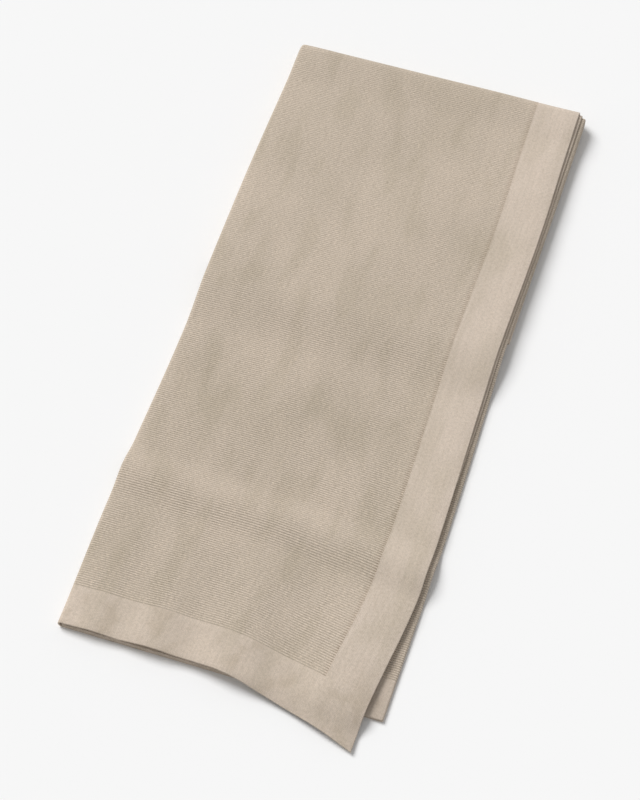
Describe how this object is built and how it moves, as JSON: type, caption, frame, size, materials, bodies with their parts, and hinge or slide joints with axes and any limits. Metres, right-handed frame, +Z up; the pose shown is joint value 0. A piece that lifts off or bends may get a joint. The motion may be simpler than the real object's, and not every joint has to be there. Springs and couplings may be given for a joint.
{
  "type": "blanket",
  "caption": "Knitted blanket with cross ridges and a plain border, folded in half lengthwise twice, its far end turned under.",
  "frame": {"origin": "on the floor, below the middle of the folded blanket's box", "axes": "+X across the folded blanket, towards its bordered edge; +Y from the near hem to the turned far end; +Z up"},
  "size_m": [0.6102, 1.4632, 0.0418],
  "materials": {
    "knit": "soft matte oatmeal knit, a marl of light and mid beige yarn, with a fine fuzz"
  },
  "bodies": {
    "root": {"blanket": "knit"}
  },
  "joints": []
}
